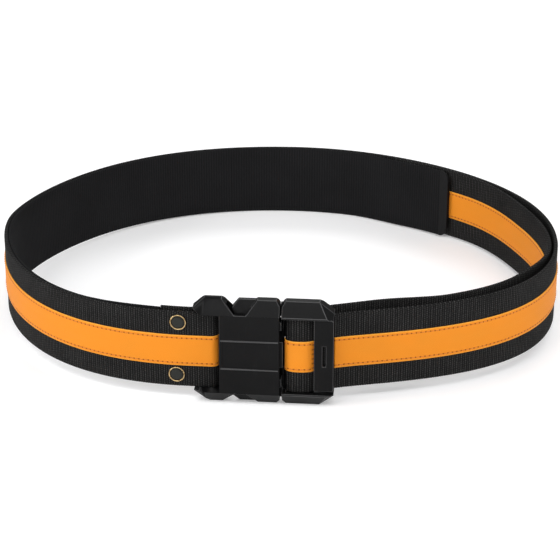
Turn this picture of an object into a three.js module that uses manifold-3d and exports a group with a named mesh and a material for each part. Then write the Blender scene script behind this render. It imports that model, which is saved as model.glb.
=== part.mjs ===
// Work belt: a loop of 50 mm webbing with a side-release buckle. Millimetres, +Z up.
// The loop stands on its lower edge. The buckle faces -Y and +X is towards its plug half.
import * as THREE from 'three';
import { mergeVertices } from 'three/addons/utils/BufferGeometryUtils.js';
import Module from 'manifold-3d';

// ---- driving dimensions ----
const BELT_WIDTH = 50;
const WEBBING = 2.2;
const LINING = 1.8;
const TAPE = 0.5;
const TAPE_WIDTH = 20.4;
const TAPE_DROP = 0.4;
const GAP = 0.3;
const STEP = 9;

const HALF_SPAN = 181.7;
const BACK_Y = 153.2;
const STRAP_FRONT_Y = -148;
const EXIT_RECESS = 5;
const STRAP_LIFT = 9;

const BUCKLE_X = 2.6;
const BUCKLE_HALF_HEIGHT = 34.2;
const BUCKLE_DEPTH = 12.6;
const BUCKLE_PROUD = 5.6;
const FACE_HALF_HEIGHT = 26;
const BEVEL_DEPTH = 6.2;
const SOCKET_RIGHT = 9.8;
const PLATE_LEFT = -26.1;
const HORN_LEFT = -42.8;
const PLUG_LEFT = 11.2;
const PLUG_RIGHT = 42.3;
const STRAP_SLOT = 25.7;
const FRONT_WALL = 2;
const CAVITY_BACK = 10.8;
const CAVITY_HALF_HEIGHT = 31.2;
const BAR_X = -31.9;
const BAR_RADIUS = 2.2;
const WRAP_RADIUS = BAR_RADIUS + GAP + WEBBING;
const ADJUSTER = { x: 22.3, depth: 6.9, halfWidth: 5.7, halfDepth: 1.7 };

const SNAP_SPREAD = 17.5;
const SNAP_MIDDLE = 0.8;
const SNAPS = { upper: { fromBar: 19.5, side: 1 }, lower: { fromBar: 20.9, side: -1 } };
const FLAP_LENGTH = 31.9;
const TAIL_END = 405;
const MOUTH = 357;
const LINING_DEPTH = WEBBING + GAP;
const MOUTH_DEPTH = 7;
const HINGE_GAP = 0.4;

const FRONT_Y = STRAP_FRONT_Y - BUCKLE_PROUD;
const STRAP_MIDDLE = STRAP_LIFT + BELT_WIDTH / 2;

const COLOURS = {
  webbing: 0x26262a,
  tape: 0xf0902c,
  lining: 0x222225,
  binding: 0x1b1b1d,
  plastic: 0x303134,
  cap: 0x2b2a2a,
  brass: 0x9a7b45,
};

const wasm = await Module();
wasm.setup();
const belt = new THREE.Group();

// ---- solids ----
function toSolid(geometry) {
  const bare = geometry.clone();
  for (const name of ['normal', 'uv']) {
    bare.deleteAttribute(name);
  }
  const merged = mergeVertices(bare, 1e-4);
  return new wasm.Manifold(new wasm.Mesh({
    numProp: 3,
    vertProperties: new Float32Array(merged.attributes.position.array),
    triVerts: new Uint32Array(merged.index.array),
  }));
}

function toGeometry(solid) {
  const mesh = solid.getMesh();
  const geometry = new THREE.BufferGeometry();
  geometry.setAttribute('position', new THREE.BufferAttribute(mesh.vertProperties, 3));
  geometry.setIndex(new THREE.BufferAttribute(mesh.triVerts, 1));
  geometry.computeVertexNormals();
  return geometry;
}

function box(x0, x1, y0, y1, z0, z1) {
  const geometry = new THREE.BoxGeometry(x1 - x0, y1 - y0, z1 - z0);
  geometry.translate((x0 + x1) / 2, (y0 + y1) / 2, (z0 + z1) / 2);
  return toSolid(geometry);
}

function extrude(points, length) {
  const shape = new THREE.Shape(points.map(([x, y]) => new THREE.Vector2(x, y)));
  return new THREE.ExtrudeGeometry(shape, { depth: length, bevelEnabled: false });
}

// An outline in X and Z, pushed along Y from y0 to y1.
function frontPrism(points, y0, y1) {
  const geometry = extrude(points, y1 - y0);
  geometry.rotateX(Math.PI / 2);
  geometry.translate(0, y1, 0);
  return toSolid(geometry);
}

// An outline in Y and Z, pushed along X from x0 to x1.
function sidePrism(points, x0, x1) {
  const geometry = extrude(points, x1 - x0);
  const toX = new THREE.Matrix4().makeBasis(
    new THREE.Vector3(0, 1, 0),
    new THREE.Vector3(0, 0, 1),
    new THREE.Vector3(1, 0, 0),
  );
  geometry.applyMatrix4(toX);
  geometry.translate(x0, 0, 0);
  return toSolid(geometry);
}

// Cuts off what lies beyond the plane through three points, on the side of the point "away".
function cutPlane(solid, corners, away) {
  const [a, b, c] = corners.map((p) => new THREE.Vector3(...p));
  const normal = b.clone().sub(a).cross(c.clone().sub(a)).normalize();
  if (normal.dot(new THREE.Vector3(...away).sub(a)) < 0) {
    normal.negate();
  }
  const size = 200;
  const block = new THREE.BoxGeometry(size, size, size);
  block.applyQuaternion(new THREE.Quaternion().setFromUnitVectors(new THREE.Vector3(0, 0, 1), normal));
  const centre = a.clone().addScaledVector(normal, size / 2);
  block.translate(centre.x, centre.y, centre.z);
  return solid.subtract(toSolid(block));
}

// A rod along Z with an elliptical section.
function rod(x, y, radiusX, radiusY, z0, z1) {
  const geometry = new THREE.CylinderGeometry(1, 1, z1 - z0, 24);
  geometry.rotateX(Math.PI / 2);
  geometry.scale(radiusX, radiusY, 1);
  geometry.translate(x, y, (z0 + z1) / 2);
  return toSolid(geometry);
}

function addPiece(name, geometry, colour, parent = belt) {
  const metal = colour === 'brass';
  const material = new THREE.MeshStandardMaterial({
    color: COLOURS[colour],
    roughness: metal ? 0.35 : 0.8,
    metalness: metal ? 1 : 0,
  });
  const mesh = new THREE.Mesh(geometry, material);
  mesh.name = name;
  parent.add(mesh);
  return mesh;
}

const mirrorZ = (points) => points.map(([x, z]) => [x, -z]).reverse();
const smooth = (from, to, value) => THREE.MathUtils.smoothstep(value, from, to);

// ---- the belt's plan ----
// The runs follow the outer face of the webbing, anticlockwise seen from above,
// so what lies to the left of a run lies inside the belt.
const point = (x, y) => new THREE.Vector2(x, y);
const EXIT_ANGLE = THREE.MathUtils.degToRad(22);
const EXIT_REACH = 36;
const rightExit = point(BUCKLE_X + PLUG_RIGHT - GAP, STRAP_FRONT_Y + EXIT_RECESS);
const rightSide = point(HALF_SPAN, -13);
const back = point(0, BACK_Y);
const leftSide = point(-HALF_SPAN, -6);
const leftEntry = point(BUCKLE_X + HORN_LEFT, STRAP_FRONT_Y);
const barX = BUCKLE_X + BAR_X;

const rightRun = new THREE.CurvePath();
rightRun.add(new THREE.CubicBezierCurve(
  rightExit,
  point(rightExit.x + EXIT_REACH * Math.cos(EXIT_ANGLE), rightExit.y + EXIT_REACH * Math.sin(EXIT_ANGLE)),
  point(rightSide.x, rightSide.y - 105),
  rightSide,
));
rightRun.add(new THREE.CubicBezierCurve(
  rightSide,
  point(rightSide.x, rightSide.y + 106),
  point(back.x + 81, back.y),
  back,
));

const leftRun = new THREE.CurvePath();
leftRun.add(new THREE.CubicBezierCurve(
  back,
  point(back.x - 134, back.y),
  point(leftSide.x, leftSide.y + 42),
  leftSide,
));
leftRun.add(new THREE.CubicBezierCurve(
  leftSide,
  point(leftSide.x, leftSide.y - 40),
  point(leftEntry.x - 115, leftEntry.y),
  leftEntry,
));
leftRun.add(new THREE.LineCurve(leftEntry, point(barX, STRAP_FRONT_Y)));
const wrapCentre = point(barX, STRAP_FRONT_Y + WRAP_RADIUS);
leftRun.add(new THREE.EllipseCurve(
  wrapCentre.x, wrapCentre.y, WRAP_RADIUS, WRAP_RADIUS, -Math.PI / 2, 0, false,
));

const RIGHT_LENGTH = rightRun.getLength();
const LEFT_LENGTH = leftRun.getLength();
const WRAP_START = LEFT_LENGTH - WRAP_RADIUS * Math.PI / 2;

// The plug half's webbing passes under the right-hand bar, over the adjuster bar and back inside.
// Centre line in the buckle's own X and depth.
const adjusterPath = new THREE.SplineCurve([
  [40.6, 11.8], [37, 10.5], [33.4, 8.7], [30.2, 6.4], [26.6, 4.3], [22, 3.6], [17.7, 3.9],
  [14.7, 5.6], [14.8, 8.2], [17.4, 10.6], [20.8, 13.2], [25.8, 16.2], [31.2, 19.4], [36.4, 22.5],
].map(([x, depth]) => point(BUCKLE_X + x, FRONT_Y + depth)));
const ADJUSTER_LENGTH = adjusterPath.getLength();

function offsetPoint(run, length, at, left) {
  const t = THREE.MathUtils.clamp(at / length, 0, 1);
  const place = run.getPointAt(t);
  const along = run.getTangentAt(t);
  return point(place.x - along.y * left, place.y + along.x * left);
}

// The belt leans up towards the buckle, which is taller than the webbing.
const lift = (y) => STRAP_LIFT * (BACK_Y - y) / (BACK_Y - STRAP_FRONT_Y);

// A layer of the belt standing on edge: from one place on a run to another, "left" being how far
// inside the run its outer surface lies, a number or a function of the place.
function ribbon(run, length, from, to, left, thickness, width, step = STEP) {
  const count = Math.max(2, Math.round((to - from) / step));
  const depth = typeof left === 'function' ? left : () => left;
  const outer = [];
  const inner = [];
  for (let i = 0; i <= count; i += 1) {
    const at = from + (to - from) * i / count;
    outer.push(offsetPoint(run, length, at, depth(at)));
    inner.unshift(offsetPoint(run, length, at, depth(at) + thickness));
  }
  const shape = new THREE.Shape([...outer, ...inner]);
  const geometry = new THREE.ExtrudeGeometry(shape, { depth: width, bevelEnabled: false });
  const position = geometry.attributes.position;
  const edge = (BELT_WIDTH - width) / 2 - (width < BELT_WIDTH ? TAPE_DROP : 0);
  for (let i = 0; i < position.count; i += 1) {
    position.setZ(i, position.getZ(i) + edge + lift(position.getY(i)));
  }
  return toSolid(geometry);
}

// ---- webbing, tape and lining ----
const PROUD_TAPE = -(GAP + TAPE);
const INNER_TAPE = WEBBING + GAP;

// The loose tail leans on the strap in places and stands off it in others: place and depth.
const TAIL_SLACK = [
  [0, 12.4], [36, 14.6], [80, 10.6], [140, 9.4], [195, 4], [270, 7], [340, WEBBING + GAP],
];
function tailDepth(at) {
  let depth = TAIL_SLACK[0][1];
  for (let i = 1; i < TAIL_SLACK.length; i += 1) {
    const [from] = TAIL_SLACK[i - 1];
    const [to, next] = TAIL_SLACK[i];
    depth += (next - depth) * smooth(from, to, at);
  }
  return depth;
}
const rightLiningDepth = (at) => MOUTH_DEPTH - (MOUTH_DEPTH - LINING_DEPTH) * smooth(395, 445, at);
const flapDepth = (at) => {
  const atBar = 2 * WRAP_RADIUS - WEBBING;
  return atBar - 0.6 * (1 - smooth(WRAP_START - 14, WRAP_START, at));
};

const wrapFine = 1.4;
const leftRest = WRAP_START - 50;
function leftStrip(from, to, left, thickness, width) {
  const run = ribbon(leftRun, LEFT_LENGTH, from, leftRest, left, thickness, width);
  const near = ribbon(leftRun, LEFT_LENGTH, leftRest, WRAP_START, left, thickness, width, STEP / 2);
  const wrap = ribbon(leftRun, LEFT_LENGTH, WRAP_START, to, left, thickness, width, wrapFine);
  return run.add(near).add(wrap);
}

const flapStart = WRAP_START - GAP;
const flapEnd = WRAP_START - FLAP_LENGTH;
// The lining stands off the strap where it meets the end of the flap.
const leftLiningDepth = (at) => LINING_DEPTH + 2.8 * smooth(flapEnd - 60, flapEnd - 6, at);
// Where each snap fastener stands on the strap's outer face, and how far the strap has turned there.
const snaps = Object.entries(SNAPS).map(([name, { fromBar, side }]) => {
  const at = WRAP_START - fromBar;
  const place = offsetPoint(leftRun, LEFT_LENGTH, at, 0);
  const tangent = leftRun.getTangent(at / LEFT_LENGTH);
  const turn = Math.atan2(tangent.y, tangent.x);
  return { name, at, place, turn, height: STRAP_MIDDLE + SNAP_MIDDLE + side * SNAP_SPREAD };
});

// Holes through the strap and flap for the snap fasteners' shanks.
const SHANK = 1.6;
function punch(solid) {
  let punched = solid;
  for (const { place, turn, height } of snaps) {
    const hole = new THREE.CylinderGeometry(SHANK + 0.4, SHANK + 0.4, 40, 16);
    hole.rotateZ(turn);
    hole.translate(place.x, place.y, height);
    punched = punched.subtract(toSolid(hole));
  }
  return punched;
}

const strapLeft = leftStrip(HINGE_GAP, LEFT_LENGTH, 0, WEBBING, BELT_WIDTH);
addPiece('strap_left', toGeometry(punch(strapLeft)), 'webbing');
addPiece('stripe_left', toGeometry(leftStrip(HINGE_GAP, LEFT_LENGTH, PROUD_TAPE, TAPE, TAPE_WIDTH)), 'tape');
addPiece('lining_left', toGeometry(
  ribbon(leftRun, LEFT_LENGTH, HINGE_GAP, flapEnd - 1, leftLiningDepth, LINING, BELT_WIDTH),
), 'lining');
const flap = ribbon(leftRun, LEFT_LENGTH, flapEnd, flapStart, flapDepth, WEBBING, BELT_WIDTH, 4);
addPiece('end_flap', toGeometry(punch(flap)), 'webbing');
addPiece('stripe_flap', toGeometry(ribbon(
  leftRun, LEFT_LENGTH, flapEnd, flapStart, (at) => flapDepth(at) + INNER_TAPE, TAPE, TAPE_WIDTH, 4,
)), 'tape');

const rightEnd = RIGHT_LENGTH - HINGE_GAP;
const rightLayer = (from, to, left, thickness, width) => toGeometry(
  ribbon(rightRun, RIGHT_LENGTH, from, to, left, thickness, width),
);
addPiece('strap_right', rightLayer(0, rightEnd, 0, WEBBING, BELT_WIDTH), 'webbing');
addPiece('stripe_right', rightLayer(0, rightEnd, PROUD_TAPE, TAPE, TAPE_WIDTH), 'tape');
addPiece('strap_tail', rightLayer(GAP, TAIL_END, tailDepth, WEBBING, BELT_WIDTH), 'webbing');
addPiece('stripe_tail', rightLayer(
  GAP, TAIL_END, (at) => tailDepth(at) + INNER_TAPE, TAPE, TAPE_WIDTH,
), 'tape');
addPiece('lining_right', rightLayer(MOUTH, rightEnd, rightLiningDepth, LINING, BELT_WIDTH), 'lining');

const BINDING = 0.6;
const BINDING_REACH = 6.5;
const bindingOuter = MOUTH_DEPTH - GAP - BINDING;
const bindingDepth = LINING + 2 * (GAP + BINDING);
const bindingBlock = ribbon(
  rightRun, RIGHT_LENGTH, MOUTH - GAP - BINDING, MOUTH + BINDING_REACH, bindingOuter, bindingDepth, BELT_WIDTH,
);
const bindingHollow = ribbon(
  rightRun, RIGHT_LENGTH, MOUTH - GAP, MOUTH + BINDING_REACH + 3, MOUTH_DEPTH - GAP, LINING + 2 * GAP,
  BELT_WIDTH + 2,
);
addPiece('mouth_binding', toGeometry(bindingBlock.subtract(bindingHollow)), 'binding');

// The tape's stations fall on the webbing's, so that the two stay parallel round the turn.
const webHalf = WEBBING / 2;
const loopStep = ADJUSTER_LENGTH / 56;
const loopLayer = (from, left, thickness, width) => toGeometry(
  ribbon(adjusterPath, ADJUSTER_LENGTH, from, ADJUSTER_LENGTH, left, thickness, width, loopStep),
);
addPiece('adjuster_loop', loopLayer(0, -webHalf, WEBBING, BELT_WIDTH), 'webbing');
addPiece('stripe_loop', loopLayer(loopStep * 10, webHalf + GAP, TAPE, TAPE_WIDTH), 'tape');

// ---- snap fasteners ----
// Each turned profile is a list of radius and depth, measured inwards from the strap's outer face.
const turned = (profile) => toGeometry(toSolid(
  new THREE.LatheGeometry(profile.map(([radius, depth]) => point(radius, depth)), 20),
));
const snapParts = (flapFace) => ({
  snap_ring: ['brass', [[2, -0.9], [4.4, -0.9], [5, -0.6], [5, -GAP], [2, -GAP], [2, -0.9]]],
  snap_cap: ['cap', [
    [0, -2.4], [2.2, -2.2], [3.4, -1.6], [3.75, -1.2], [SHANK, -1.2], [SHANK, 3.1], [0, 3.1],
  ]],
  snap_socket: ['brass', [
    [SHANK + 0.4, 2.7], [5, 2.7], [5, 3.2], [4.1, 3.6], [4.1, 5.2], [3.1, 5.2], [3.1, 3.4],
    [SHANK + 0.4, 3.4], [SHANK + 0.4, 2.7],
  ]],
  snap_stud: ['brass', [
    [0, 3.9], [2, 3.9], [2.5, 4.3], [2.3, 5.5], [4.6, 5.6], [4.6, flapFace - GAP], [0, flapFace - GAP],
  ]],
  snap_post: ['brass', [
    [0, flapFace], [SHANK, flapFace], [SHANK, flapFace + INNER_TAPE],
    [4.8, flapFace + INNER_TAPE], [4.2, flapFace + INNER_TAPE + 0.6], [0, flapFace + INNER_TAPE + 0.8],
  ]],
});
for (const { name, at, place, turn, height } of snaps) {
  const fastener = new THREE.Group();
  fastener.position.set(place.x, place.y, height);
  fastener.rotation.z = turn;
  belt.add(fastener);
  for (const [part, [colour, profile]] of Object.entries(snapParts(flapDepth(at)))) {
    addPiece(`${part}_${name}`, turned(profile), colour, fastener);
  }
}

// ---- buckle ----
// Built in its own axes: X across, Y depth behind the front face, Z from its middle.
const buckle = new THREE.Group();
buckle.position.set(BUCKLE_X, FRONT_Y, BUCKLE_HALF_HEIGHT);
belt.add(buckle);
const TOP = BUCKLE_HALF_HEIGHT;
const BACK_BEVEL = 1.6;
const bevelSide = [
  [BUCKLE_DEPTH, TOP - BACK_BEVEL], [BUCKLE_DEPTH - BACK_BEVEL, TOP],
  [BEVEL_DEPTH, TOP], [0, FACE_HALF_HEIGHT],
];
const casingSide = sidePrism([...bevelSide, ...mirrorZ(bevelSide)], -60, 60);
const V_CUT = 2.1;
const V_DROP = 3;

// Socket half: casing with a notch above and below for the release prongs' heads, two horns and
// the bar that the left strap is folded round.
const NOTCH_FLOOR = 26.2;
const socketTop = [
  [SOCKET_RIGHT, TOP - V_DROP], [SOCKET_RIGHT - V_CUT, TOP], [-3.7, TOP], [-10.1, NOTCH_FLOOR],
  [-17.1, NOTCH_FLOOR], [-25.2, TOP], [-35.5, TOP], [HORN_LEFT, 27.6], [-39, STRAP_SLOT],
  [PLATE_LEFT, STRAP_SLOT],
];
let socket = frontPrism([...socketTop, ...mirrorZ(socketTop)], 0, BUCKLE_DEPTH).intersect(casingSide);
for (const side of [1, -1]) {
  const facet = [[-35.5, 8, side * TOP], [HORN_LEFT, 6, side * 27.6], [-37.6, 1, side * 25.7]];
  socket = cutPlane(socket, facet, [-50, -10, side * 40]);
}
const cavityTop = [
  [CAVITY_BACK, CAVITY_HALF_HEIGHT], [5.7, CAVITY_HALF_HEIGHT], [FRONT_WALL, 25.4],
];
const cavity = sidePrism([...cavityTop, ...mirrorZ(cavityTop)], PLATE_LEFT + 3.4, SOCKET_RIGHT + 5);
socket = socket.subtract(cavity);
// A shallow panel runs across the front plate between two ridges.
const PANEL_HALF_HEIGHT = 9;
const PANEL_SUNK = 0.5;
socket = socket.subtract(box(
  PLATE_LEFT + 1.5, SOCKET_RIGHT + 5, -5, PANEL_SUNK, -PANEL_HALF_HEIGHT, PANEL_HALF_HEIGHT,
));
const RIDGE_PROUD = 0.35;
const ridgeSide = [
  [1, PANEL_HALF_HEIGHT - 0.8], [1, PANEL_HALF_HEIGHT + 1.6],
  [-RIDGE_PROUD, PANEL_HALF_HEIGHT + 0.7], [-RIDGE_PROUD, PANEL_HALF_HEIGHT],
];
for (const outline of [ridgeSide, mirrorZ(ridgeSide)]) {
  socket = socket.add(sidePrism(outline, PLATE_LEFT + 0.6, SOCKET_RIGHT - 0.6));
}
const barDepth = BUCKLE_PROUD + WRAP_RADIUS;
socket = socket.add(rod(BAR_X, barDepth, BAR_RADIUS, BAR_RADIUS, -STRAP_SLOT - 1, STRAP_SLOT + 1));
addPiece('buckle_socket', toGeometry(socket), 'plastic', buckle);

// Plug half: a frame round the adjuster window, with the guide tongue that enters the socket.
const WINDOW_RIGHT = 30.6;
const CROSSBAR_RIGHT = 13.3;
const CROSSBAR_FRONT = 7.6;
const LIP = 24.9;
const RIGHT_BAR_BACK = 4;
const plugTop = [
  [PLUG_RIGHT, 27.6], [33.6, TOP], [PLUG_LEFT + V_CUT, TOP], [PLUG_LEFT, TOP - V_DROP],
];
const outlineRight = [...plugTop, ...mirrorZ(plugTop)];
let plug = frontPrism(outlineRight, 0, BUCKLE_DEPTH).intersect(casingSide);
for (const side of [1, -1]) {
  const facet = [[38.3, 0, side * 26], [PLUG_RIGHT, 3.6, side * 26], [33.6, BEVEL_DEPTH, side * TOP]];
  plug = cutPlane(plug, facet, [60, -10, side * 40]);
}
const BEYOND = 60;
plug = plug.subtract(box(CROSSBAR_RIGHT, WINDOW_RIGHT, -5, BEYOND, -LIP, LIP));
plug = plug.subtract(box(CROSSBAR_RIGHT, WINDOW_RIGHT, 2.4, BEYOND, -STRAP_SLOT, STRAP_SLOT));
plug = plug.subtract(box(CROSSBAR_RIGHT, BEYOND, RIGHT_BAR_BACK, BEYOND, -STRAP_SLOT, STRAP_SLOT));
plug = plug.subtract(box(0, CROSSBAR_RIGHT + 1, -5, CROSSBAR_FRONT, -LIP, LIP));
// The crossbar is relieved for the tape, and a thin lip reaches from it behind the seam.
const tapeMiddle = STRAP_MIDDLE - TAPE_DROP - BUCKLE_HALF_HEIGHT;
const tapeReach = TAPE_WIDTH / 2 + 2 * GAP;
plug = plug.subtract(box(
  CROSSBAR_RIGHT - 0.8, CROSSBAR_RIGHT + 1, -5, BEYOND, tapeMiddle - tapeReach, tapeMiddle + tapeReach,
));
plug = plug.add(box(
  SOCKET_RIGHT + GAP, PLUG_LEFT + 0.5, CAVITY_BACK - GAP, BUCKLE_DEPTH,
  -CAVITY_HALF_HEIGHT, CAVITY_HALF_HEIGHT,
));
// Ribs beside the prongs' roots close the seam from inside the socket.
const RIB_LEFT = SOCKET_RIGHT - 1.6;
const RIB_FRONT = 7.8;
for (const [low, high] of [[-30.8, -23.6], [-15.4, 15.4], [23.6, 30.8]]) {
  plug = plug.add(box(RIB_LEFT, PLUG_LEFT + 0.5, RIB_FRONT, CAVITY_BACK - GAP, low, high));
}
plug = plug.subtract(box(WINDOW_RIGHT - 1, BEYOND, -5, 1, -LIP, LIP));
plug = plug.subtract(box(WINDOW_RIGHT - 1, BEYOND, -5, 3, -LIP, -22.6));
plug = plug.subtract(box(35.6, 37.7, -5, RIGHT_BAR_BACK + 1, -5.9, 7.7));
const tongueOutline = [
  [PLUG_LEFT + 0.5, -8.5], [PLUG_LEFT + 0.5, 8.5], [-12, 8.5], [-15, 6], [-15, -6], [-12, -8.5],
];
plug = plug.add(frontPrism(tongueOutline, 2.9, CAVITY_BACK - 0.9));
addPiece('buckle_frame', toGeometry(plug), 'plastic', buckle);

addPiece('adjuster_bar', toGeometry(rod(
  ADJUSTER.x, ADJUSTER.depth, ADJUSTER.halfWidth, ADJUSTER.halfDepth, GAP - STRAP_SLOT, STRAP_SLOT - GAP,
)), 'plastic', buckle);

// Release prongs: a springy arm with a bevelled head that fills the socket's notch.
const PRONG_FRONT = FRONT_WALL + 0.4;
const PRONG_BACK = CAVITY_BACK - 0.6;
const prongOutline = [
  [PLUG_LEFT - GAP, 16], [PLUG_LEFT - GAP, 21.5], [-2, 27.2], [-7.2, 30], [-4.2, TOP - 0.2],
  [-15, TOP - 0.2], [-18.6, 29.4], [-17, 25.8], [-12, 22.8], [-6, 22.2],
];
const prongSide = [
  [PRONG_FRONT, 0], [PRONG_FRONT, 25.4], [PRONG_FRONT + 5.6, TOP], [PRONG_BACK, TOP], [PRONG_BACK, 0],
];
const prong = (outline, side) => toGeometry(
  frontPrism(outline, 0, BUCKLE_DEPTH).intersect(sidePrism(side, -60, 60)),
);
addPiece('prong_upper', prong(prongOutline, prongSide), 'plastic', buckle);
addPiece('prong_lower', prong(mirrorZ(prongOutline), mirrorZ(prongSide)), 'plastic', buckle);

export default belt;
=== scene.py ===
"""A work belt of 50 mm webbing with a side-release buckle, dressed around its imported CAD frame.

The scene is in metres, in the CAD's frame. The belt's own dimensions are millimetres and become
metres where a mesh is made, by MM.
"""
import math

import bmesh
import bpy
import numpy as np
from mathutils import Matrix, Vector


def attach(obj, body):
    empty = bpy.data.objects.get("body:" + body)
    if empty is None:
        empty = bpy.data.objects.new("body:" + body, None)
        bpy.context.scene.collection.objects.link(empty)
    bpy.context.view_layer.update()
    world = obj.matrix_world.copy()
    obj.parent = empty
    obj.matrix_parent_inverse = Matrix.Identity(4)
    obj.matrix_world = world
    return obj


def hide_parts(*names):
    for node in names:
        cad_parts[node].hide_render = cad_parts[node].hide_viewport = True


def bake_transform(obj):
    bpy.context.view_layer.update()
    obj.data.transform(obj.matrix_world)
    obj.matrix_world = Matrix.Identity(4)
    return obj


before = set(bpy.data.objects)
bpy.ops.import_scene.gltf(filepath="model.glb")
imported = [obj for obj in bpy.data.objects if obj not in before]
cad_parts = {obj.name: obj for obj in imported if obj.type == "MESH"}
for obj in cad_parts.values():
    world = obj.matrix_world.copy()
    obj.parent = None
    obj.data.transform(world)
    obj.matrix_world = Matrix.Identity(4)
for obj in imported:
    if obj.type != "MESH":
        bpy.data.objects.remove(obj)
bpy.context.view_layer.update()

MM = 0.001

# ---- the belt's driving dimensions, as in the CAD ----
BELT_WIDTH = 50.0
WEBBING = 2.2
LINING = 1.8
TAPE = 0.5
TAPE_WIDTH = 20.4
TAPE_DROP = 0.4
TAPE_MIDDLE = BELT_WIDTH / 2 - TAPE_DROP
TAPE_EDGE = 0.35
GAP = 0.3
HALF_SPAN = 181.7
BACK_Y = 153.2
FRONT_Y = -148.0
EXIT_RECESS = 5.0
LIFT = 9.0
BUCKLE_X = 2.6
BUCKLE_PROUD = 5.6
PLUG_RIGHT = 42.3
HORN_LEFT = -42.8
BAR_X = -31.9
WRAP_RADIUS = 4.7
FLAP_LENGTH = 31.9
TAIL_END = 405.0
MOUTH = 357.0
MOUTH_DEPTH = 7.0
BINDING = 0.6
BINDING_REACH = 6.5
MOUTH_CORNER = 7.5
LINING_OVERRUN = 0.85
SNAP_SPREAD = 17.5
SNAP_MIDDLE = 0.8
SNAPS = {"upper": (19.5, 1), "lower": (20.9, -1)}

# ---- weave and stitching ----
RIB = 1.5
RIB_HEIGHT = 0.2
LINING_RIB = 1.9
STITCH = 3.0
STITCH_GAP = 0.8
STITCH_INSET = 1.9
THREAD = 0.27
# The tape on the adjuster's loop is cut off this far right of the buckle's middle, and sewn
# down with stitches over the cut.
TAPE_CUT = 30.2
END_STITCH = 2.2
END_PITCH = 3.1
END_STITCHES = 6
THREAD_PROUD = 0.08


# ---- camera ----
def make_camera():
    data = bpy.data.cameras.new("camera")
    data.sensor_width = 36
    data.lens = 127.4
    camera = bpy.data.objects.new("camera", data)
    camera.location = (0.1047, -1.20185, 0.5758)
    camera.rotation_euler = (math.radians(65), 0, math.radians(5))
    bpy.context.scene.collection.objects.link(camera)
    bpy.context.scene.camera = camera


make_camera()


# ---- paths in plan ----
def smooth(start, end, value):
    t = np.clip((np.asarray(value, float) - start) / (end - start), 0, 1)
    return t * t * (3 - 2 * t)


def bezier(p0, p1, p2, p3, count=300):
    t = np.linspace(0, 1, count)[:, None]
    p0, p1, p2, p3 = (np.array(p, float) for p in (p0, p1, p2, p3))
    return (1 - t) ** 3 * p0 + 3 * (1 - t) ** 2 * t * p1 + 3 * (1 - t) * t**2 * p2 + t**3 * p3


def arc(centre, radius, start, end, count=60):
    angle = np.radians(np.linspace(start, end, count))
    return np.array(centre) + radius * np.stack([np.cos(angle), np.sin(angle)], axis=1)


def spline(points, count=24):
    """A uniform Catmull-Rom curve through the points."""
    p = np.array(points, float)
    p = np.vstack([p[0], p, p[-1]])
    t = np.linspace(0, 1, count, endpoint=False)[:, None]
    parts = []
    for a, b, c, d in zip(p, p[1:], p[2:], p[3:]):
        v0, v1 = (c - a) / 2, (d - b) / 2
        cubic = 2 * b - 2 * c + v0 + v1
        square = -3 * b + 3 * c - 2 * v0 - v1
        parts.append(cubic * t**3 + square * t**2 + v0 * t + b)
    return np.vstack([*parts, p[-1:]])


class Run:
    """A path in plan, read by the length along it."""

    def __init__(self, *parts):
        points = [np.asarray(parts[0], float)]
        points += [np.asarray(part, float)[1:] for part in parts[1:]]
        self.points = np.vstack(points)
        steps = np.hypot(*np.diff(self.points, axis=0).T)
        self.places = np.concatenate([[0], np.cumsum(steps)])
        self.length = self.places[-1]

    def point(self, place):
        x, y = self.points.T
        return np.stack([np.interp(place, self.places, x), np.interp(place, self.places, y)], axis=-1)

    def tangent(self, place, reach=0.4):
        ahead = self.point(np.minimum(np.asarray(place) + reach, self.length))
        behind = self.point(np.maximum(np.asarray(place) - reach, 0))
        step = ahead - behind
        return step / np.linalg.norm(step, axis=-1, keepdims=True)

    def offset(self, place, left):
        """The point that lies that far to the left of the path."""
        along = self.tangent(place)
        side = np.stack([-along[..., 1], along[..., 0]], axis=-1)
        return self.point(place) + side * np.asarray(left, float)[..., None]


def lift(y):
    """How far the belt's lower edge has risen above the floor."""
    return LIFT * (BACK_Y - y) / (BACK_Y - FRONT_Y)


EXIT = (BUCKLE_X + PLUG_RIGHT - GAP, FRONT_Y + EXIT_RECESS)
EXIT_ANGLE = math.radians(22)
EXIT_REACH = 36
RIGHT_SIDE = (HALF_SPAN, -13)
LEFT_SIDE = (-HALF_SPAN, -6)
BACK = (0, BACK_Y)
ENTRY = (BUCKLE_X + HORN_LEFT, FRONT_Y)
BAR = (BUCKLE_X + BAR_X, FRONT_Y + WRAP_RADIUS)

right_half_run = [
    bezier(
        EXIT,
        (EXIT[0] + EXIT_REACH * math.cos(EXIT_ANGLE), EXIT[1] + EXIT_REACH * math.sin(EXIT_ANGLE)),
        (RIGHT_SIDE[0], RIGHT_SIDE[1] - 105),
        RIGHT_SIDE,
    ),
    bezier(RIGHT_SIDE, (RIGHT_SIDE[0], RIGHT_SIDE[1] + 106), (81, BACK_Y), BACK),
]
left_half_run = [
    bezier(BACK, (-134, BACK_Y), (LEFT_SIDE[0], LEFT_SIDE[1] + 42), LEFT_SIDE),
    bezier(LEFT_SIDE, (LEFT_SIDE[0], LEFT_SIDE[1] - 40), (ENTRY[0] - 115, ENTRY[1]), ENTRY),
    np.array([ENTRY, (BAR[0], FRONT_Y)]),
]
right_run = Run(*right_half_run)
to_bar = Run(*right_half_run, *left_half_run)
MIDDLE = right_run.length
AT_BAR = to_bar.length


def flap_depth(place):
    """How far the end flap's near face lies inside the strap's outer face."""
    return 2 * WRAP_RADIUS - WEBBING - 0.6 * (1 - smooth(AT_BAR - 14, AT_BAR, place))


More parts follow.
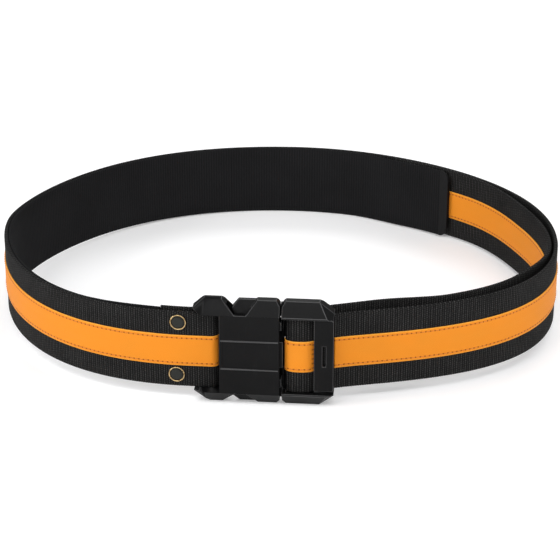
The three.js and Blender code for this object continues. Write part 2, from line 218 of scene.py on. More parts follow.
wrap = arc(BAR, WRAP_RADIUS, -90, 90)
flap_places = np.linspace(AT_BAR, AT_BAR - FLAP_LENGTH, 80)
flap = to_bar.offset(flap_places, flap_depth(flap_places) + WEBBING)
belt_run = Run(*right_half_run, *left_half_run, wrap, flap)
AT_FLAP = AT_BAR + math.pi * WRAP_RADIUS
# The strap is one piece as far as this angle round the bar, and the wrap piece takes over from there on.
BEND_FROM = math.radians(62)
AT_BEND = AT_BAR + BEND_FROM * WRAP_RADIUS
AT_END = belt_run.length

# The loose tail leans on the strap in places and stands off it in others: place and depth.
TAIL_SLACK = [
    (0, 12.4), (36, 14.6), (80, 10.6), (140, 9.4), (195, 4), (270, 7), (340, WEBBING + GAP),
]


def tail_depth(place):
    depth = np.full(np.shape(place), float(TAIL_SLACK[0][1]))
    for (start, _), (end, following) in zip(TAIL_SLACK, TAIL_SLACK[1:]):
        depth = depth + (following - depth) * smooth(start, end, place)
    return depth


# Where the tail leaves the buckle its line is read at even steps and blurred, this many times and
# this many steps each way.
TAIL_STEP = 0.5
JOIN_BLURS = 6
JOIN_REACH = 40


def tail_run():
    """The free strap's centre line: under the right bar, over the adjuster bar, back under and
    along inside the strap."""
    over_bar = spline([
        (40.6, 11.8), (37, 10.5), (33.4, 8.7), (30.2, 6.4), (26.6, 4.3), (22, 3.6), (17.7, 3.9),
        (14.7, 5.6), (14.8, 8.2), (17.4, 10.6), (20.8, 13.2), (25.8, 16.2), (31.2, 19.4),
        (36.4, 22.5),
    ]) + np.array([BUCKLE_X, FRONT_Y - BUCKLE_PROUD])
    places = np.arange(2.5, TAIL_END, 1.0)
    along = right_run.offset(places, tail_depth(places) + WEBBING / 2)
    rough = Run(over_bar, np.vstack([over_bar[-1:], along]))
    even = rough.point(np.arange(0, rough.length, TAIL_STEP))
    blurred = even.copy()
    for _ in range(JOIN_BLURS):
        inner = (blurred[:-2] + 2 * blurred[1:-1] + blurred[2:]) / 4
        blurred[1:-1] = inner
    join = int(np.argmin(np.hypot(*(even - over_bar[-1]).T)))
    keep = slice(max(join - JOIN_REACH, 1), join + JOIN_REACH)
    even[keep] = blurred[keep]
    return Run(even)


LINING_END = AT_BAR - FLAP_LENGTH - 1
MOUTH_CLOSES = (395, 445)
LINING_STANDS_OFF = 2.8


def lining_depth(place):
    """The lining hugs the strap, but stands off it at its mouth and where it meets the end flap."""
    near = WEBBING + GAP
    mouth = (MOUTH_DEPTH - near) * (1 - smooth(*MOUTH_CLOSES, place))
    return near + mouth + LINING_STANDS_OFF * smooth(LINING_END - 59, LINING_END - 5, place)


# ---- meshes ----
def link(name, mesh, material):
    obj = bpy.data.objects.new(name, mesh)
    mesh.materials.append(material)
    bpy.context.scene.collection.objects.link(obj)
    return obj


def edge_ring(thickness, edge, across=6, round_steps=5):
    """A strip's section: share of the width, and offsets and outward directions across and in
    depth."""
    ring = []
    half = thickness / 2
    for i in range(across + 1):
        ring.append((i / across, 0, 0, 0, -1))
    for k in range(1, round_steps):
        a = math.pi * k / round_steps
        ring.append((1, edge * math.sin(a), half * (1 - math.cos(a)), math.sin(a), -math.cos(a)))
    for i in range(across + 1):
        ring.append((1 - i / across, 0, thickness, 0, 1))
    for k in range(1, round_steps):
        a = math.pi * k / round_steps
        ring.append((0, -edge * math.sin(a), half * (1 + math.cos(a)), -math.sin(a), math.cos(a)))
    return np.array(ring).T


def strip(name, material, run, start, end, left, thickness, width, middle=BELT_WIDTH / 2,
          edge=0.9, step=1.2, rib=0.0, rib_height=0.0, inset=None, sway=0.0):
    """A strip of webbing, tape or lining standing on edge along a run, "left" being how far inside
    the run its outer face lies. Its UV map holds the place along the run and the height, in mm."""
    if rib:
        step = rib / 4
    count = max(4, round((end - start) / step))
    place = np.linspace(start, end, count + 1)
    outer = left(place) if callable(left) else np.full_like(place, left)
    share, up, deep, out_up, out_deep = edge_ring(thickness, edge)
    low = middle - width / 2 + edge
    high = middle + width / 2 - edge
    narrow = inset(place)[:, None] if inset else 0
    relief = (rib_height * np.abs(np.sin(np.pi * place / rib)))[:, None] if rib else 0
    height = (low + narrow) + share * (high - low - 2 * narrow) + up + out_up * relief * 0.6
    height = height + sway * np.sin(place / 31.0)[:, None] * (np.abs(share - 0.5) * 2)
    depth = outer[:, None] + deep + out_deep * relief
    flat = run.offset(np.repeat(place, len(share)), depth.ravel())
    z = height.ravel() + lift(flat[:, 1])
    verts = np.column_stack([flat, z]) * MM

    ring = len(share)
    i, j = np.meshgrid(np.arange(count), np.arange(ring), indexing="ij")
    following = (j + 1) % ring
    near_row = i * ring
    far_row = near_row + ring
    corners = [near_row + j, far_row + j, far_row + following, near_row + following]
    quads = np.stack(corners, axis=-1).reshape(-1, 4)
    start_cap = list(range(ring))
    end_cap = [count * ring + k for k in reversed(range(ring))]
    mesh = bpy.data.meshes.new(name)
    mesh.from_pydata(verts.tolist(), [], quads.tolist() + [start_cap, end_cap])
    order = np.concatenate([quads.ravel(), start_cap, end_cap])
    grid = np.column_stack([np.repeat(place, ring), height.ravel()])
    weave = mesh.uv_layers.new(name="weave")
    weave.data.foreach_set("uv", grid[order].astype(np.float32).ravel())
    rounded = np.ones(len(mesh.polygons), bool)
    rounded[-2:] = False
    mesh.polygons.foreach_set("use_smooth", rounded)
    mesh.update()
    return link(name, mesh, material)


def threads(name, material, run, spots, inner=False, radius=THREAD):
    """Threads lying along a strip. Each spot is the places where a thread starts and ends, its depth
    and its height."""
    shares = np.array([0, 0.06, 0.25, 0.5, 0.75, 0.94, 1.0])
    swell = np.array([0.25, 0.7, 1.0, 1.05, 1.0, 0.7, 0.25]) * radius
    dive = np.array([1.5, 0.8, 0.25, 0.0, 0.25, 0.8, 1.5]) * radius * (-1 if inner else 1)
    sides = 7
    turn = np.arange(sides) / sides * 2 * np.pi
    last = len(shares) - 1
    verts, faces = [], []
    for start, end, left, height in spots:
        base = len(verts)
        for share, r, sunk in zip(shares, swell, dive):
            place = np.full(sides, start + share * (end - start))
            ring = run.offset(place, left + sunk + r * np.cos(turn))
            z = height + lift(ring[:, 1]) + r * np.sin(turn)
            verts += (np.column_stack([ring, z]) * MM).tolist()
        for i in range(last):
            for j in range(sides):
                k = (j + 1) % sides
                a = base + i * sides
                faces.append((a + j, a + sides + j, a + sides + k, a + k))
        faces.append(tuple(base + j for j in range(sides)))
        faces.append(tuple(base + last * sides + j for j in reversed(range(sides))))
    return finished(name, material, verts, faces)


def stitch_rows(start, end, left, middle):
    """The two rows of stitches along a tape, one inside each edge."""
    reach = TAPE_WIDTH / 2 - STITCH_INSET
    return [
        (first + STITCH_GAP / 2, first + STITCH - STITCH_GAP / 2, left, middle + side * reach)
        for side in (-1, 1)
        for first in np.arange(math.ceil(start / STITCH) * STITCH, end - STITCH, STITCH)
    ]


def finished(name, material, verts, faces):
    mesh = bpy.data.meshes.new(name)
    mesh.from_pydata(verts, [], faces)
    tidy = bmesh.new()
    tidy.from_mesh(mesh)
    bmesh.ops.recalc_face_normals(tidy, faces=tidy.faces)
    tidy.to_mesh(mesh)
    tidy.free()
    mesh.polygons.foreach_set("use_smooth", [True] * len(mesh.polygons))
    return link(name, mesh, material)


FLAT_ANGLE = math.radians(1)
EDGE_ANGLE = math.radians(20)
SHARP_ANGLE = math.radians(50)


def refined(name, node, material, wear_and_edge_highlight, bevel=0.3, segments=2):
    """A CAD node's own shape with its longer edges rounded and painted lighter as a highlight."""
    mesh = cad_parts[node].data.copy()
    mesh.name = name
    mesh.materials.clear()
    work = bmesh.new()
    work.from_mesh(mesh)
    bmesh.ops.remove_doubles(work, verts=work.verts, dist=0.02 * MM)
    flat = [
        e for e in work.edges
        if len(e.link_faces) == 2 and e.calc_face_angle(0) < FLAT_ANGLE
    ]
    bmesh.ops.beautify_fill(work, faces=work.faces[:], edges=flat, method="ANGLE")
    cramped = {
        v for e in work.edges
        if e.calc_length() < 3 * bevel * MM and e.calc_face_angle(0) > FLAT_ANGLE
        for v in e.verts
    }
    sharp = [
        e for e in work.edges
        if len(e.link_faces) == 2 and e.calc_face_angle(0) > EDGE_ANGLE
        and not cramped & set(e.verts)
    ]
    # The bevelled edges and the faces that stand proud of the buckle's front take the second material, a
    # lighter copy of the plastic: a painted highlight.
    in_front = (FRONT_Y - BUCKLE_PROUD - 0.02) * MM
    for face in work.faces:
        face.material_index = int(face.calc_center_median().y < in_front)
    bmesh.ops.bevel(
        work, geom=sharp, offset=bevel * MM, offset_type="OFFSET", segments=segments,
        profile=0.5, affect="EDGES", clamp_overlap=False, material=1,
    )
    bmesh.ops.triangulate(work, faces=work.faces[:])
    work.to_mesh(mesh)
    work.free()
    mesh.polygons.foreach_set("use_smooth", [True] * len(mesh.polygons))
    mesh.set_sharp_from_angle(angle=SHARP_ANGLE)
    obj = link(name, mesh, material)
    mesh.materials.append(wear_and_edge_highlight)
    weighted = obj.modifiers.new("weighted_normals", "WEIGHTED_NORMAL")
    weighted.keep_sharp = True
    weighted.weight = 100
    return obj


def lathe(name, material, profile, place, turn, height, segments=72):
    """A turned piece on the axis that runs inwards through a strap: profile of radius and depth."""
    spot_frame = Matrix.Translation(Vector((place[0], place[1], height)))
    axis_frame = spot_frame @ Matrix.Rotation(turn, 4, "Z")
    verts, faces = [], []
    for radius, depth in profile:
        for k in range(segments):
            a = 2 * math.pi * k / segments
            spot = axis_frame @ Vector((radius * math.cos(a), depth, radius * math.sin(a)))
            verts.append(tuple(spot * MM))
    rings = len(profile)
    for i in range(rings - 1):
        for k in range(segments):
            following = (k + 1) % segments
            faces.append((i * segments + k, i * segments + following,
                          (i + 1) * segments + following, (i + 1) * segments + k))
    obj = finished(name, material, verts, faces)
    work = bmesh.new()
    work.from_mesh(obj.data)
    bmesh.ops.remove_doubles(work, verts=work.verts, dist=0.001 * MM)
    bmesh.ops.recalc_face_normals(work, faces=work.faces)
    work.to_mesh(obj.data)
    work.free()
    obj.data.set_sharp_from_angle(angle=SHARP_ANGLE)
    return obj


# ---- materials ----
class Look:
    """A material, with short ways to add nodes to it."""

    def __init__(self, name, **sockets):
        self.material = bpy.data.materials.new(name)
        self.material.use_nodes = True
        self.tree = self.material.node_tree
        self.shader = self.tree.nodes["Principled BSDF"]
        for key, value in sockets.items():
            self.shader.inputs[key.replace("_", " ")].default_value = value

    def feed(self, socket, value):
        if isinstance(value, bpy.types.NodeSocket):
            self.tree.links.new(value, socket)
        else:
            socket.default_value = value

    def add(self, kind, output=0, settings=None, **inputs):
        node = self.tree.nodes.new("ShaderNode" + kind)
        for key, value in (settings or {}).items():
            setattr(node, key, value)
        for key, value in inputs.items():
            self.feed(node.inputs[key.replace("_", " ")], value)
        return node.outputs[output]

    def math(self, operation, *values):
        node = self.tree.nodes.new("ShaderNodeMath")
        node.operation = operation
        for socket, value in zip(node.inputs, values):
            self.feed(socket, value)
        return node.outputs[0]

    def times(self, *values):
        result = values[0]
        for value in values[1:]:
            result = self.math("MULTIPLY", result, value)
        return result

    def plus(self, *values):
        result = values[0]
        for value in values[1:]:
            result = self.math("ADD", result, value)
        return result

    def remap(self, value, low, high, to_low=0.0, to_high=1.0):
        return self.add(
            "MapRange", Value=value, From_Min=low, From_Max=high, To_Min=to_low, To_Max=to_high,
        )

    def weave(self):
        """The place along the strip and the height across it, in mm."""
        coordinates = self.add("UVMap", settings={"uv_map": "weave"})
        node = self.tree.nodes.new("ShaderNodeSeparateXYZ")
        self.feed(node.inputs[0], coordinates)
        return coordinates, node.outputs[0], node.outputs[1]

    def own(self):
        return self.add("TexCoord", output=3)

    def noise(self, vector, scale, detail=2.0):
        return self.add("TexNoise", Vector=vector, Scale=scale, Detail=detail)

    def wave(self, value, pitch, shift=0.0):
        """A row of humps of that pitch, 0 between them and 1 on their crests."""
        turns = self.plus(self.times(value, math.pi / pitch), shift)
        return self.math("ABSOLUTE", self.math("SINE", turns))

    def colour(self, factor, low, high):
        node = self.tree.nodes.new("ShaderNodeMix")
        node.data_type = "RGBA"
        self.feed(node.inputs[0], factor)
        self.feed(node.inputs[6], low if isinstance(low, bpy.types.NodeSocket) else (*low, 1))
        self.feed(node.inputs[7], high if isinstance(high, bpy.types.NodeSocket) else (*high, 1))
        return node.outputs[2]

    def paint(self, colour=None, roughness=None, height=None, distance=0.0001, strength=1.0):
        if colour is not None:
            self.feed(self.shader.inputs["Base Color"], colour)
        if roughness is not None:
            self.feed(self.shader.inputs["Roughness"], roughness)
        if height is not None:
            bumped = self.add("Bump", Height=height, Distance=distance, Strength=strength)
            self.feed(self.shader.inputs["Normal"], bumped)
        return self.material


def ribbed(look, rib, yarn, pairing=0.0):
    """Woven ribs across a strip: each is a row of yarn humps, the rows are staggered, and every
    other rib is lower by the pairing."""
    coordinates, along, across = look.weave()
    crest = look.wave(along, rib)
    row = look.math("FLOOR", look.math("DIVIDE", along, rib))
    stagger = look.times(look.math("PINGPONG", row, 1.0), math.pi / 2)
    hump = look.wave(across, yarn, stagger)
    fuzz = look.noise(coordinates, 1.5, 3.0)
    paired = look.math("SUBTRACT", 1.0, look.times(look.math("PINGPONG", row, 1.0), pairing))
    height = look.times(crest, look.plus(look.times(hump, 0.65), 0.35), paired)
    return coordinates, height, fuzz


def webbing_look():
    look = Look("webbing", Specular_IOR_Level=0.07)
    coordinates, height, fuzz = ribbed(look, RIB, 1.3, 0.2)
    fade = look.remap(look.noise(coordinates, 0.045, 3.0), 0.3, 0.7, 0.75, 1.15)
    # Colour follows the rib relief: painted shade in the valleys between ribs and yarns and a painted
    # highlight on their crests, varied at random by the fuzz and the fade.
    tone = look.times(look.math("POWER", height, 1.5), look.remap(fuzz, 0.3, 0.7, 0.1, 1.6), fade)
    colour = look.colour(tone, (0.0012, 0.0012, 0.0013), (0.048, 0.047, 0.046))
    relief = look.plus(height, look.times(fuzz, 0.25))
    return look.paint(colour, look.remap(fuzz, 0.2, 0.8, 0.62, 0.8), relief, 0.00022, 0.9)


def lining_look():
    look = Look("lining", Specular_IOR_Level=0.07)
    coordinates, height, fuzz = ribbed(look, LINING_RIB, 0.9)
    fade = look.remap(look.noise(coordinates, 0.03, 3.0), 0.3, 0.7, 0.8, 1.1)
    # Colour follows the rib relief: painted shade in the valleys between the ribs, varied at random by the
    # fuzz and the fade.
    tone = look.times(look.remap(height, 0.0, 1.0, 0.3, 1.0), look.remap(fuzz, 0.25, 0.75, 0.6, 1.2), fade)
    colour = look.colour(tone, (0.002, 0.002, 0.0022), (0.014, 0.014, 0.015))
    return look.paint(colour, 0.8, look.plus(height, look.times(fuzz, 0.3)), 0.00015, 0.7)


def binding_look():
    look = Look("binding", Specular_IOR_Level=0.15)
    _, height, fuzz = ribbed(look, 0.55, 0.7)
    # Colour follows the rib relief: painted shade in the valleys between the ribs, varied by the fuzz.
    colour = look.colour(look.times(height, fuzz), (0.003, 0.003, 0.0032), (0.014, 0.014, 0.015))
    return look.paint(colour, 0.65, height, 0.00006, 0.7)


def tape_look(name, cut=None):
    """Orange tape, with its twill grooves painted darker as shade, a painted highlight along both edges,
    painted shade in the stitch holes at each end of every stitch, and painted shadow round the stitches
    over a cut end.
    """
    look = Look(name, Sheen_Weight=0.02, Sheen_Roughness=0.4, Specular_IOR_Level=0.15)
    coordinates, along, across = look.weave()
    zigzag = look.math("PINGPONG", across, 3.4)
    twill = look.wave(look.plus(along, zigzag), 0.95)
    fine = look.noise(coordinates, 3.1, 3.0)
    broad = look.noise(coordinates, 0.05, 2.0)
    from_middle = look.math("SUBTRACT", across, TAPE_MIDDLE)
    from_row = look.math(
        "ABSOLUTE", look.math("SUBTRACT", look.math("ABSOLUTE", from_middle),
                              TAPE_WIDTH / 2 - STITCH_INSET))
    from_hole = look.math("PINGPONG", along, STITCH / 2)
    # Painted shade in the stitch holes, where the stitch rows meet the gaps between stitches; the same
    # mask also dents the bump.
    stitch_holes_and_shade = look.times(
        look.remap(from_row, 0.25, 0.6, 1.0, 0.0),
        look.remap(from_hole, 0.25, 0.65, 1.0, 0.0),
    )
    # Over a cut end, painted shadow round each stitch that crosses it.
    if cut is not None:
        from_cut = look.math("SUBTRACT", along, cut)
        from_stitch = look.math("PINGPONG", from_middle, END_PITCH / 2)
        near_cut = look.remap(from_cut, END_STITCH, END_STITCH + 0.5, 1.0, 0.0)
        near_stitch = look.remap(from_stitch, END_PITCH / 2 - 0.8, END_PITCH / 2 - 0.4)
        stitch_holes_and_shade = look.math("MAXIMUM", stitch_holes_and_shade, look.times(near_cut, near_stitch, 0.6))
    # Painted highlight: the tape is painted lighter within 0.7 mm of each edge, where its rounded edges
    # catch the light.
    tape_edge_highlight = look.remap(look.math("ABSOLUTE", from_middle),
                          TAPE_WIDTH / 2 - 0.7, TAPE_WIDTH / 2 - 0.2, 0.0, 0.5)
    # The twill's grooves are painted darker as shade, beside random variation from the fine noise.
    tone = look.times(look.remap(twill, 0.0, 1.0, 0.7, 1.0), look.remap(fine, 0.3, 0.7, 0.74, 1.08))
    cloth = look.colour(tone, (0.40, 0.105, 0.003), (0.73, 0.25, 0.0165))
    aged = look.colour(look.remap(broad, 0.3, 0.75, 0.0, 0.45), cloth, (0.74, 0.225, 0.011))
    edged = look.colour(tape_edge_highlight, aged, (0.86, 0.42, 0.06))
    # The painted shade of the stitch holes and end stitches darkens the tape here.
    colour = look.colour(look.times(stitch_holes_and_shade, 0.9), edged, (0.16, 0.03, 0.002))
    height = look.math("SUBTRACT", look.plus(twill, look.times(fine, 0.3)), look.times(stitch_holes_and_shade, 3.0))
    return look.paint(colour, look.remap(fine, 0.2, 0.8, 0.6, 0.75), height, 0.00007, 0.7)


def thread_look(name, colour):
    look = Look(name, Sheen_Weight=0.1, Specular_IOR_Level=0.4)
    spot = look.own()
    twist = look.noise(spot, 2600.0, 2.0)
    dark = tuple(c * 0.6 for c in colour)
    return look.paint(look.colour(twist, dark, colour), 0.6, twist, 0.00005, 0.6)


def plastic_look(name, dull, bright, scuffed, level):
    look = Look(name, Specular_IOR_Level=level)
    spot = look.own()
    grain = look.noise(spot, 2200.0, 3.0)
    cloud = look.noise(spot, 60.0, 3.0)
    scuff = look.add("TexNoise", Vector=look.add("Mapping", Vector=spot, Scale=(900.0, 260.0, 60.0)),
                     Scale=1.0, Detail=4.0)
    rubbed = look.remap(scuff, 0.6, 0.78, 0.0, 0.5)
    tone = look.remap(look.plus(look.times(cloud, 0.6), look.times(grain, 0.4)), 0.35, 0.65, 0.0, 1.0)
    colour = look.colour(tone, dull, bright)
    wear_and_edge_highlight = look.colour(rubbed, colour, scuffed)
    roughness = look.remap(look.plus(cloud, look.times(rubbed, 0.3)), 0.3, 0.8, 0.40, 0.54)
    return look.paint(wear_and_edge_highlight, roughness, grain, 0.00003, 0.55)


def cap_look():
    look = Look("snap_cap", Specular_IOR_Level=0.2)
    spot = look.own()
    speckle = look.noise(spot, 1500.0, 3.0)
    return look.paint(look.colour(speckle, (0.009, 0.0095, 0.008), (0.022, 0.023, 0.02)),
                      look.remap(speckle, 0.3, 0.7, 0.38, 0.55), speckle, 0.00003, 0.5)


def brass_look(name, dull, bright):
    look = Look(name, Metallic=1.0)
    spot = look.own()
    tarnish = look.noise(spot, 700.0, 4.0)
    return look.paint(look.colour(look.remap(tarnish, 0.35, 0.65), dull, bright),
                      look.remap(tarnish, 0.3, 0.7, 0.22, 0.42), tarnish, 0.00004, 0.4)


def floor_look():
    look = Look("floor")
    spot = look.own()
    tone = look.noise(spot, 3.0, 2.0)
    look.shader.inputs["Emission Color"].default_value = (1, 1, 1, 1)
    look.shader.inputs["Emission Strength"].default_value = 0.2
    return look.paint(look.colour(tone, (0.86, 0.86, 0.87), (0.88, 0.88, 0.885)), 0.85)


WEBBING_LOOK = webbing_look()
LINING_LOOK = lining_look()
BINDING_LOOK = binding_look()
TAPE_LOOK = tape_look("tape")
TAPE_THREAD = thread_look("tape_thread", (0.68, 0.2, 0.014))
END_THREAD = thread_look("end_thread", (0.36, 0.09, 0.006))
PLASTIC = plastic_look(
    "buckle_plastic", (0.0028, 0.0028, 0.003), (0.0048, 0.0048, 0.005), (0.011, 0.011, 0.0113), 0.1,
)
# A lighter, shinier copy of the buckle plastic for the bevels and proud faces: a painted highlight, with
# the same random scuffs as the plastic.
PLASTIC_EDGE_HIGHLIGHT = plastic_look(
    "plastic_edge_highlight", (0.022, 0.022, 0.0225), (0.042, 0.042, 0.043), (0.06, 0.06, 0.061), 0.4,
)
CAP = cap_look()
BRASS = brass_look("ring_brass", (0.30, 0.19, 0.08), (0.74, 0.55, 0.28))
# A darker copy of the brass, for the socket and the stud that sit between the strap and the end flap.
DARK_BRASS = brass_look("dark_brass", (0.06, 0.04, 0.02), (0.26, 0.18, 0.09))

# ---- riding, and the pieces between bodies baked in place ----
BACK_REACH = 50
BLEND_REACH = 45
back_start = (BLEND_REACH * MM, BACK_Y * MM, BELT_WIDTH / 2 * MM)
back_end = (-BLEND_REACH * MM, BACK_Y * MM, BELT_WIDTH / 2 * MM)


def dress(obj, slot, nodes=(), body=None, bend=None):
    """Hides the CAD nodes that a piece stands for and joins it to its body; a piece given a bend only has
    its place baked into its mesh. Its slot is not used."""
    if nodes:
        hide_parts(*nodes)
    if bend:
        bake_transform(obj)
    else:
        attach(obj, body)
    return obj


def back_bend():
    return ("right_half", "left_half", back_start, back_end)


def wrap_bend(radius):
    """The bodies and the span of the turn of webbing round the bar, between the strap and the end flap."""
    x, y = BAR
    bend_start = (x * MM, (y - radius * math.cos(BEND_FROM)) * MM, 0)
    bend_end = (x * MM, (y + radius) * MM, 0)
    return ("left_half", "end_flap", bend_start, bend_end)


# Each length of the belt, from the plug round to the end flap, and the CAD nodes that its strap and tape
# stand for.
LENGTHS = {
    "right": (0.0, MIDDLE - BACK_REACH),
    "back": (MIDDLE - BACK_REACH, MIDDLE + BACK_REACH),
    "left": (MIDDLE + BACK_REACH, AT_BEND),
    "wrap": (AT_BEND, AT_FLAP),
    "flap": (AT_FLAP, AT_END),
}
STRAP_NODES = {"right": ["strap_right"], "left": ["strap_left"], "flap": ["end_flap"]}
TAPE_NODES = {"right": ["stripe_right"], "left": ["stripe_left"], "flap": ["stripe_flap"]}


def joining(part, radius):
    if part == "back":
        return {"bend": back_bend()}
    if part == "wrap":
        return {"bend": wrap_bend(radius)}
    return {"body": {"right": "right_half", "left": "left_half", "flap": "end_flap"}[part]}


def make_strap():
    raised = GAP + TAPE
    for part, (start, end) in LENGTHS.items():
        web = strip(f"webbing_{part}", WEBBING_LOOK, belt_run, start, end, 0, WEBBING, BELT_WIDTH,
                    rib=RIB, rib_height=RIB_HEIGHT, sway=0.12)
        dress(web, "webbing", STRAP_NODES.get(part, ()), **joining(part, WRAP_RADIUS))
        tape = strip(f"tape_{part}", TAPE_LOOK, belt_run, start, end, -raised, raised, TAPE_WIDTH,
                     TAPE_MIDDLE, edge=TAPE_EDGE, step=0.3 if part == "wrap" else 0.8)
        dress(tape, "tape", TAPE_NODES.get(part, ()), **joining(part, WRAP_RADIUS + raised))
        rows = stitch_rows(start, end, -raised - THREAD_PROUD, TAPE_MIDDLE)
        sewn = threads(f"tape_stitches_{part}", TAPE_THREAD, belt_run, rows)
        dress(sewn, "tape", **joining(part, WRAP_RADIUS + raised))


def make_lining():
    def corner_from(edge):
        """How far the corners that start at that place are cut back."""
        def cut_back(place):
            into = np.clip(place - edge, 0, MOUTH_CORNER)
            return MOUTH_CORNER - np.sqrt(np.maximum(MOUTH_CORNER**2 - (MOUTH_CORNER - into) ** 2, 0))
        return cut_back

    parts = {
        "right": (MOUTH, MIDDLE - BACK_REACH),
        "back": LENGTHS["back"],
        "left": (MIDDLE + BACK_REACH, LINING_END + LINING_OVERRUN),
    }
    nodes = {"right": ["lining_right"], "left": ["lining_left"]}
    for part, (start, stop) in parts.items():
        lining = strip(f"lining_{part}", LINING_LOOK, belt_run, start, stop, lining_depth, LINING,
                       BELT_WIDTH - 0.6, rib=LINING_RIB, rib_height=0.08, edge=0.8,
                       inset=corner_from(MOUTH) if part == "right" else None)
        dress(lining, "lining", nodes.get(part, ()), **joining(part, 0))
    binding_start = MOUTH - BINDING
    binding = strip("mouth_binding_tape", BINDING_LOOK, belt_run, binding_start, MOUTH + BINDING_REACH,
                    MOUTH_DEPTH - 0.35, LINING + 0.7, BELT_WIDTH, edge=1.2, step=0.35,
                    inset=corner_from(binding_start))
    dress(binding, "binding", ["mouth_binding"], body="right_half")


def make_tail():
    run = tail_run()
    web = strip("webbing_tail", WEBBING_LOOK, run, 0, run.length, -WEBBING / 2, WEBBING, BELT_WIDTH,
                rib=RIB, rib_height=RIB_HEIGHT, sway=0.15)
    dress(web, "webbing", ["adjuster_loop", "strap_tail"], body="right_half")
    cut = BUCKLE_X + TAPE_CUT
    tape_start = float(np.interp(-cut, -run.points[:60, 0], run.places[:60]))
    sewn_off = tape_look("tape_cut_end", tape_start)
    tape = strip("tape_tail", sewn_off, run, tape_start, run.length, WEBBING / 2, GAP + TAPE, TAPE_WIDTH,
                 TAPE_MIDDLE, edge=TAPE_EDGE, step=0.6)
    dress(tape, "tape", ["stripe_loop", "stripe_tail"], body="right_half")
    face = WEBBING / 2 + GAP + TAPE + THREAD_PROUD
    rows = stitch_rows(tape_start + END_STITCH, run.length, face, TAPE_MIDDLE)
    sewn = threads("tape_stitches_tail", TAPE_THREAD, run, rows, inner=True)
    dress(sewn, "tape", body="right_half")
    lowest = TAPE_MIDDLE - (END_STITCHES - 1) / 2 * END_PITCH
    ends = [
        (tape_start + 0.2, tape_start + END_STITCH, face, lowest + k * END_PITCH)
        for k in range(END_STITCHES)
    ]
    across = threads("tape_end_stitches", END_THREAD, run, ends, inner=True)
    dress(across, "tape", body="right_half")


def make_snaps():
    shank = 1.6
    for name, (from_bar, side) in SNAPS.items():
        at = AT_BAR - from_bar
        place = to_bar.point(at)
        along = to_bar.tangent(at)
        turn = math.atan2(along[1], along[0])
        height = LIFT + BELT_WIDTH / 2 + SNAP_MIDDLE + side * SNAP_SPREAD
        face = float(flap_depth(at))
        outside = face + WEBBING + GAP
        ring = [
            (4.6 + 0.36 * math.cos(a), -0.7 + 0.36 * math.sin(a))
            for a in np.linspace(0, 2 * math.pi, 17)
        ]
        dome = [(r, -1.35 + 0.2 * (r / 3.3) ** 2) for r in np.linspace(0.0, 3.1, 9)]
        cap = [
            *dome, (3.3, -1.05), (3.4, -0.85), (3.4, -0.5), (4.1, -0.4), (4.1, -0.2), (shank, -0.2),
            (shank, 3.1), (0, 3.1),
        ]
        socket = [
            (shank + 0.4, 2.7), (4.4, 2.7), (4.6, 2.85), (4.6, 3.1), (4.4, 3.35), (4.1, 3.6),
            (4.1, 5.0), (3.9, 5.2), (3.3, 5.2), (3.1, 5.0), (3.1, 3.4), (shank + 0.4, 3.4),
            (shank + 0.4, 2.7),
        ]
        stud = [
            (0, 3.9), (1.6, 3.9), (2.1, 4.0), (2.45, 4.3), (2.45, 4.6), (2.2, 5.0), (2.3, 5.5), (4.4, 5.6),
            (4.6, 5.8), (4.6, face - GAP), (0, face - GAP),
        ]
        post = [
            (0, face), (shank, face), (shank, outside), (4.6, outside), (4.8, outside + 0.15),
            (4.5, outside + 0.5), (3.6, outside + 0.75), (1.9, outside + 0.85),
            (1.6, outside + 0.55), (0, outside + 0.5),
        ]
        for part, material, profile, body, slot in (
            ("ring", BRASS, ring, "left_half", "snap_brass"),
            ("cap", CAP, cap, "left_half", "snap_cap"),
            ("socket", DARK_BRASS, socket, "left_half", "snap_brass"),
            ("stud", DARK_BRASS, stud, "end_flap", "snap_brass"),
            ("post", BRASS, post, "end_flap", "snap_brass"),
        ):
            piece = lathe(f"turned_{part}_{name}", material, profile, place, turn, height)
            dress(piece, slot, [f"snap_{part}_{name}"], body=body)


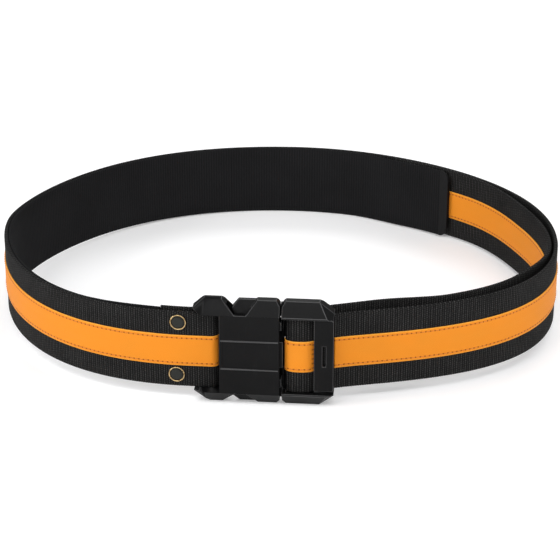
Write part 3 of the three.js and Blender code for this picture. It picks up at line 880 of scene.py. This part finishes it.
def make_buckle():
    for name, node, body, bevel in (
        ("socket_casing", "buckle_socket", "left_half", 0.3),
        ("plug_frame", "buckle_frame", "right_half", 0.3),
        ("sliding_bar", "adjuster_bar", "right_half", 0.2),
        ("release_prong_upper", "prong_upper", "upper_prong", 0.35),
        ("release_prong_lower", "prong_lower", "lower_prong", 0.35),
    ):
        piece = refined(name, node, PLASTIC, PLASTIC_EDGE_HIGHLIGHT, bevel)
        dress(piece, "buckle_plastic", [node], body=body)


make_strap()
make_lining()
make_tail()
make_snaps()
make_buckle()


# ---- studio ----
def make_stage():
    mesh = bpy.data.meshes.new("floor")
    reach = 8
    corners = [(-reach, -reach, 0), (reach, -reach, 0), (reach, reach, 0), (-reach, reach, 0)]
    mesh.from_pydata(corners, [], [(0, 1, 2, 3)])
    link("floor", mesh, floor_look())


def area_light(name, place, target, size, power):
    data = bpy.data.lights.new(name, "AREA")
    data.shape = "RECTANGLE"
    data.size, data.size_y = size
    data.energy = power
    data.color = (1, 1, 1)
    lamp = bpy.data.objects.new(name, data)
    lamp.location = place
    lamp.rotation_euler = (Vector(target) - Vector(place)).to_track_quat("-Z", "Y").to_euler()
    bpy.context.scene.collection.objects.link(lamp)


def make_lights():
    world = bpy.data.worlds.new("world")
    world.use_nodes = True
    background = world.node_tree.nodes["Background"]
    background.inputs["Color"].default_value = (1, 1, 1, 1)
    background.inputs["Strength"].default_value = 0.26
    bpy.context.scene.world = world
    area_light("top_softbox", (0.0, -0.95, 1.4), (0, -0.1, 0), (1.7, 0.55), 16)
    area_light("back_softbox", (0.0, 1.3, 1.3), (0, 0, 0), (1.8, 0.8), 15)
    area_light("front_softbox", (0.0, -1.9, 0.75), (0, 0, 0.03), (1.8, 0.8), 7)
    area_light("right_strip", (1.5, -0.5, 0.6), (0, -0.1, 0.03), (0.5, 1.0), 9)
    area_light("left_strip", (-1.5, -0.8, 0.6), (0, -0.1, 0.03), (0.5, 1.0), 15)


make_stage()
make_lights()
bpy.context.scene.view_settings.view_transform = "Standard"
